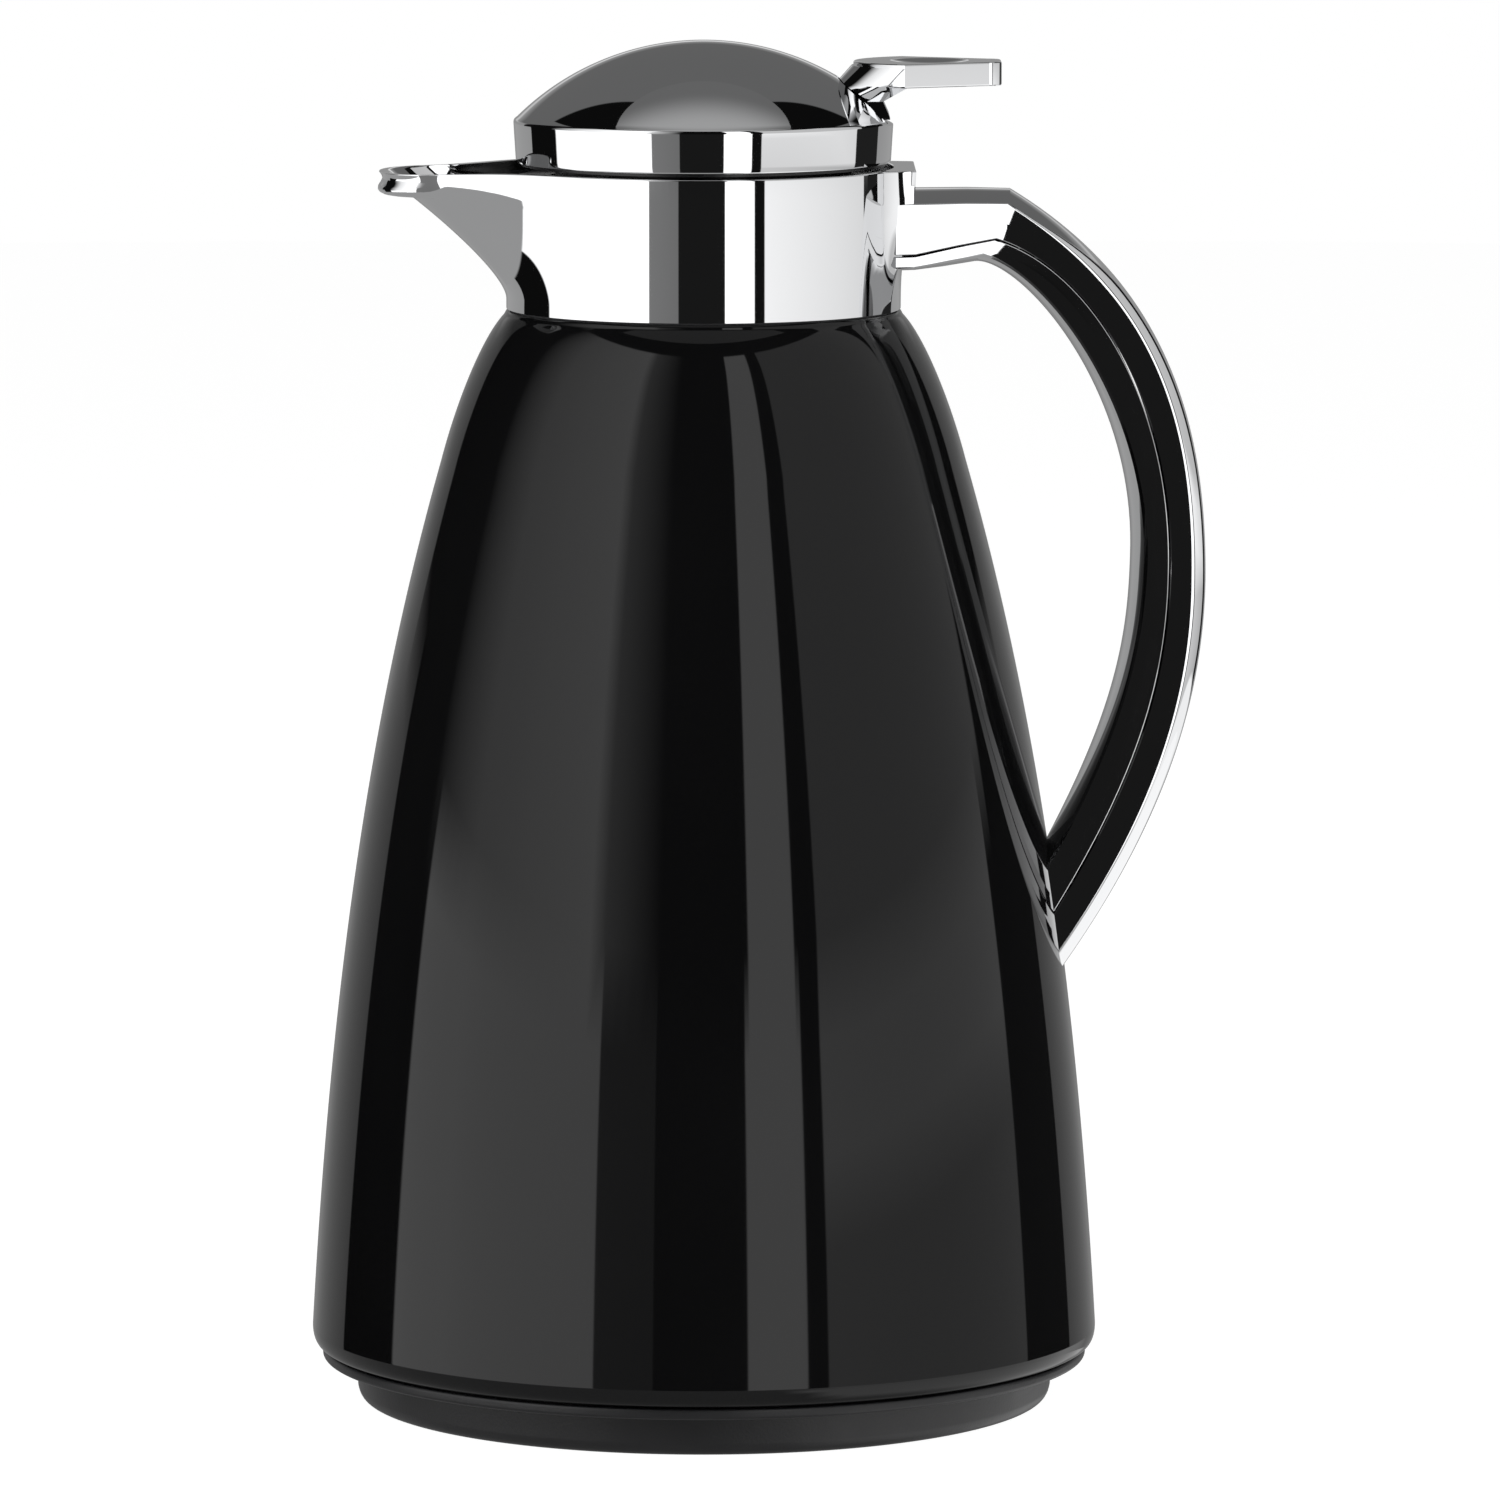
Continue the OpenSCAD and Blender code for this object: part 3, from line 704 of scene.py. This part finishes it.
def thumb_lever():
    """Plate, web, foot, boss on the pivot pin and forked arm that lifts the valve."""
    plate = extruded("thumb_lever_bright", plate_plan(), PLATE_TOP - PLATE_T, PLATE_TOP)
    rounded(plate, 0.35, 60)
    web = lofted("web", lever_loops())
    foot = hulled("foot", lever_foot())
    arm_half, arm_bottom = 5.0, 250.3
    boss = block("boss", (29.0, -arm_half, arm_bottom), (35.1, arm_half, 259.8))
    arm = block("arm", (-3.2, -arm_half, arm_bottom), (30.8, arm_half, 254.3))
    combined(plate, [web, foot, boss, arm], "UNION")
    hollow_x, hollow_r, hollow_depth = 44.6, 8.0, 0.9
    ball_r = (hollow_r ** 2 + hollow_depth ** 2) / (2 * hollow_depth)
    pin_hole_r = 1.55
    fork_half, fork_end = 3.1, 4.5
    slot_half, slot_half_height = 1.8, 1.4
    cuts = [ball("hollow", hollow_x, PLATE_TOP - hollow_depth + ball_r, ball_r),
            bar_along_y("hole", PIVOT[0], PIVOT[1], pin_hole_r, 15.0),
            block("fork", (-10.0, -fork_half, 245.0), (fork_end, fork_half, 265.0)),
            block("slot", (-slot_half, -10.0, PIVOT[1] - slot_half_height),
                  (slot_half, 10.0, PIVOT[1] + slot_half_height))]
    return combined(plate, cuts, "DIFFERENCE")


def dome_arc(radius, edge_r, steps):
    """Points of the dome from its edge up to the axis."""
    first = math.asin(edge_r / radius)
    return [(radius * math.sin(first * (1 - i / steps)),
             JUG_H - DOME_R + radius * math.cos(first * (1 - i / steps)))
            for i in range(steps + 1)]


def lid_cap():
    """Thin dome with a short skirt, slotted where the lever stands and swings."""
    skin = 1.0
    bottom, wall_r = 246.9, 36.2
    skirt_foot, skirt_head = (37.05, 247.25), (37.5, 254.6)
    steps = 8
    side = [tuple(mix(u, v, i / steps) for u, v in zip(skirt_foot, skirt_head))
            for i in range(1, steps + 1)]
    skirt = ([(36.75, bottom), (36.98, 246.98), skirt_foot] + side
             + curve((37.5, 254.75), (37.5, 255.05), (37.4, 255.3), (37.15, 255.48), 6))
    dome = dome_arc(DOME_R, 36.75, 72)
    inside = dome_arc(DOME_R - skin, 35.8, 40)[::-1]
    wall = [(36.4, 254.6), (wall_r, 247.4), (wall_r, bottom)]
    cap = lathed("lid_cap_bright", skirt + dome + inside + wall, 320)
    clearance, reach = 0.3, 8.0
    web, foot = web_room(clearance), lever_foot(clearance, reach)
    slots = [hulled("web_slot", web + swung(web)), hulled("foot_slot", foot + swung(foot))]
    return combined(cap, slots, "DIFFERENCE")


finished(thumb_lever(), chrome, "lever", "chrome", "thumb_lever", angle=16)
finished(lid_cap(), chrome, "lid", "chrome", "lid_cap", angle=28)

# ---- studio ------------------------------------------------------------------------------


def stage_object(obj, material, camera, lights_jug):
    """Gives a piece of the studio its material and visibility. It shows in the camera, or it
    lights the jug.
    """
    obj.data.materials.append(material)
    obj.visible_camera = camera
    obj.visible_glossy = lights_jug
    obj.visible_diffuse = lights_jug
    obj.visible_shadow = False


# The wall of light around the jug. Each table gives the light by angle from the camera's
# side, in degrees growing towards the handle. SURROUND_ROWS says which table holds at
# which height, with soft changes between the rows.
NEAR_TABLE = [
    (-180, 0.20), (-160, 0.36), (-128.5, 0.32), (-128, 0.004), (-101, 0.004),
    (-100, 1.2), (-80, 1.45), (-31.5, 1.45), (-31, 0.20), (-14.5, 0.17), (-14, 0.010),
    (12, 0.010), (12.5, 1.5), (29, 1.5), (29.5, 0.006), (35, 0.006), (35.5, 1.04),
    (106, 0.78), (106.5, 0.015), (132, 0.015), (132.5, 0.32), (160, 0.36), (180, 0.20)]
HIGHER = [
    (-180, 0.30), (-150, 0.30), (-139, 0.30), (-138, 0.004), (-104, 0.004), (-80, 0.9),
    (-60, 1.2), (-36, 1.45), (-31, 0.6), (-14, 0.02), (-13, 0.004), (13.5, 0.004),
    (14, 1.5), (28, 1.5), (28.5, 0.004), (35.5, 0.004), (36, 0.60), (110, 0.55),
    (111, 0.004), (138, 0.004), (139, 0.30), (150, 0.30), (180, 0.30)]
# HIGHER with more light straight behind the jug, and with less all over the back
LIT_BACK = [(a, 0.75 if abs(a) == 180 else level) for a, level in HIGHER]
DIM_BACK = [(a, 0.13 if abs(a) > 138.5 else level) for a, level in HIGHER]
# NEAR_TABLE with a dimmer card on the handle's side, and a plain wall under that, light
# on the handle's side
LOWER = [(a, 0.62 * level if 35.2 < a < 106.2 else level) for a, level in NEAR_TABLE]
BELOW = [(-180, 0.33), (20, 0.33), (40, 1.0), (130, 1.0), (150, 0.33), (180, 0.33)]
# over the cards only a dim back
ABOVE = [(-180, 0.13), (-139, 0.13), (-138, 0.004), (138, 0.004), (139, 0.13), (180, 0.13)]
SURROUND_R = 1.15
SURROUND_LOW = -0.3
SURROUND_TOP = 2.41
SURROUND_ROWS = [
    (SURROUND_LOW, BELOW), (-0.18, BELOW), (-0.16, LOWER), (0.02, LOWER),
    (0.08, NEAR_TABLE), (0.16, NEAR_TABLE), (0.24, HIGHER), (0.36, HIGHER),
    (0.40, LIT_BACK), (0.45, LIT_BACK), (0.48, HIGHER), (0.62, DIM_BACK),
    (1.68, DIM_BACK), (1.72, ABOVE), (SURROUND_TOP, ABOVE)]


def level_mesh(name, points, faces, levels):
    """Stage mesh in metres that shines as strongly as each point's level says."""
    mesh = bpy.data.meshes.new(name)
    mesh.from_pydata(points, [], faces)
    obj = bpy.data.objects.new(name, mesh)
    bpy.context.scene.collection.objects.link(obj)
    attribute = mesh.attributes.new("level", "FLOAT_COLOR", "POINT")
    for item, level in zip(attribute.data, levels):
        item.color = (level, level, level, 1)
    material = glow(name + "_light", 1.0)
    tree = material.node_tree
    reader = tree.nodes.new("ShaderNodeAttribute")
    reader.attribute_name = "level"
    tree.links.new(reader.outputs["Color"], tree.nodes["Emission"].inputs["Color"])
    stage_object(obj, material, camera=False, lights_jug=True)


def grid_faces(columns, rows):
    """Faces of a grid whose points are listed column by column."""
    return [(i * rows + j, (i + 1) * rows + j, (i + 1) * rows + j + 1, i * rows + j + 1)
            for i in range(columns - 1) for j in range(rows - 1)]


def surround():
    """Wall of light around the jug, seen only in reflections."""
    step = 4
    angles = sorted({angle for _, row in SURROUND_ROWS for angle, _ in row}
                    | set(range(-180, 181, step)))
    points, levels = [], []
    for angle in angles:
        a = math.radians(angle)
        for z, row in SURROUND_ROWS:
            points.append((SURROUND_R * math.sin(a), -SURROUND_R * math.cos(a), z))
            levels.append(table_value(row, angle))
    level_mesh("surround", points, grid_faces(len(angles), len(SURROUND_ROWS)), levels)


def low_ring():
    """Table seen in reflections: dim round the jug and lighter from a circle outwards.

    The circle is wide, and small on the handle's side."""
    wide, small, edge_softness = 1.2, 0.2, 0.3
    dim, gain = 0.33, 0.75
    inner_r, outer_r = 0.02, SURROUND_R + 0.03
    turns, steps = 48, 24
    points, levels = [], []
    for i in range(turns + 1):
        a = 2 * math.pi * i / turns
        light_edge = mix(wide, small, eased(math.cos(a), 0.3, 0.7))
        for j in range(steps + 1):
            radius = mix(inner_r, outer_r, j / steps)
            points.append((radius * math.cos(a), radius * math.sin(a), SURROUND_LOW))
            levels.append(dim + gain * eased(radius, light_edge, light_edge + edge_softness))
    level_mesh("low_ring", points, grid_faces(turns + 1, steps + 1), levels)


def ceiling():
    """Soft light over the jug that fades towards the back."""
    back_level, gain = 0.14, 0.24
    back_y, front_y = 0.75, -0.05
    steps = 24
    points, levels = [], []
    for i in range(steps + 1):
        for j in range(steps + 1):
            x = SURROUND_R * (2 * i / steps - 1)
            y = SURROUND_R * (2 * j / steps - 1)
            points.append((x, y, SURROUND_TOP))
            levels.append(back_level + gain * eased(y, back_y, front_y))
    level_mesh("ceiling", points, grid_faces(steps + 1, steps + 1), levels)


def floor():
    half = 3.2 / MM
    return mesh_from("floor", [(-half, -half, 0), (half, -half, 0), (half, half, 0),
                               (-half, half, 0)], [(0, 1, 2, 3)])


def backdrop():
    """Round white wall behind the jug from wherever it is looked at."""
    radius, height, turns = 3.0 / MM, 6.0 / MM, 64
    points = [(radius * math.cos(2 * math.pi * i / turns),
               radius * math.sin(2 * math.pi * i / turns), z)
              for i in range(turns + 1) for z in (0.0, height)]
    return mesh_from("backdrop", points, grid_faces(turns + 1, 2))


def floor_material():
    """Pale floor that stays near white and still takes a soft shadow."""
    material = bpy.data.materials.new("pale_floor")
    material.use_nodes = True
    tree = material.node_tree
    tree.nodes.clear()
    output = tree.nodes.new("ShaderNodeOutputMaterial")
    add = tree.nodes.new("ShaderNodeAddShader")
    diffuse = tree.nodes.new("ShaderNodeBsdfDiffuse")
    diffuse.inputs["Color"].default_value = (0.25, 0.25, 0.25, 1)
    emission = tree.nodes.new("ShaderNodeEmission")
    emission.inputs["Strength"].default_value = 0.95
    tree.links.new(diffuse.outputs["BSDF"], add.inputs[0])
    tree.links.new(emission.outputs["Emission"], add.inputs[1])
    tree.links.new(add.outputs["Shader"], output.inputs["Surface"])
    return material


surround()
ceiling()
low_ring()
stage_object(backdrop(), glow("backdrop_light", 1.0), camera=True, lights_jug=False)
stage_object(floor(), floor_material(), camera=True, lights_jug=False)

world = bpy.data.worlds.new("studio")
world.use_nodes = True
world.node_tree.nodes["Background"].inputs["Color"].default_value = (0.13, 0.13, 0.13, 1)
bpy.context.scene.world = world
bpy.context.scene.view_settings.view_transform = "Standard"


def aimed(obj, location, target):
    """Puts a light or camera at its place and turns it to the target."""
    obj.location = location
    obj.rotation_euler = (Vector(target) - obj.location).to_track_quat(
        "-Z", "Y").to_euler()
    bpy.context.scene.collection.objects.link(obj)
    return obj


def area_light(name, location, power):
    light = bpy.data.lights.new(name, "AREA")
    light.shape = "SQUARE"
    light.size = 1.0
    light.energy = power
    obj = aimed(bpy.data.objects.new(name, light), location, (0.0, 0.0, 0.13))
    obj.visible_glossy = False


area_light("key", (-1.0, -1.3, 1.2), 12.0)
area_light("fill", (1.2, -1.1, 0.9), 8.0)

# ---- camera ------------------------------------------------------------------------------

# the photo's view: a long lens, a little above the jug's middle
camera_data = bpy.data.cameras.new("camera")
camera_data.lens = 267.6
camera_data.sensor_width = 36.0
camera_data.clip_end = 20.0
bpy.context.scene.camera = aimed(bpy.data.objects.new("camera", camera_data),
                                 (0.0, -2.2, 0.4011), (0.0092, 0.0, 0.1297))
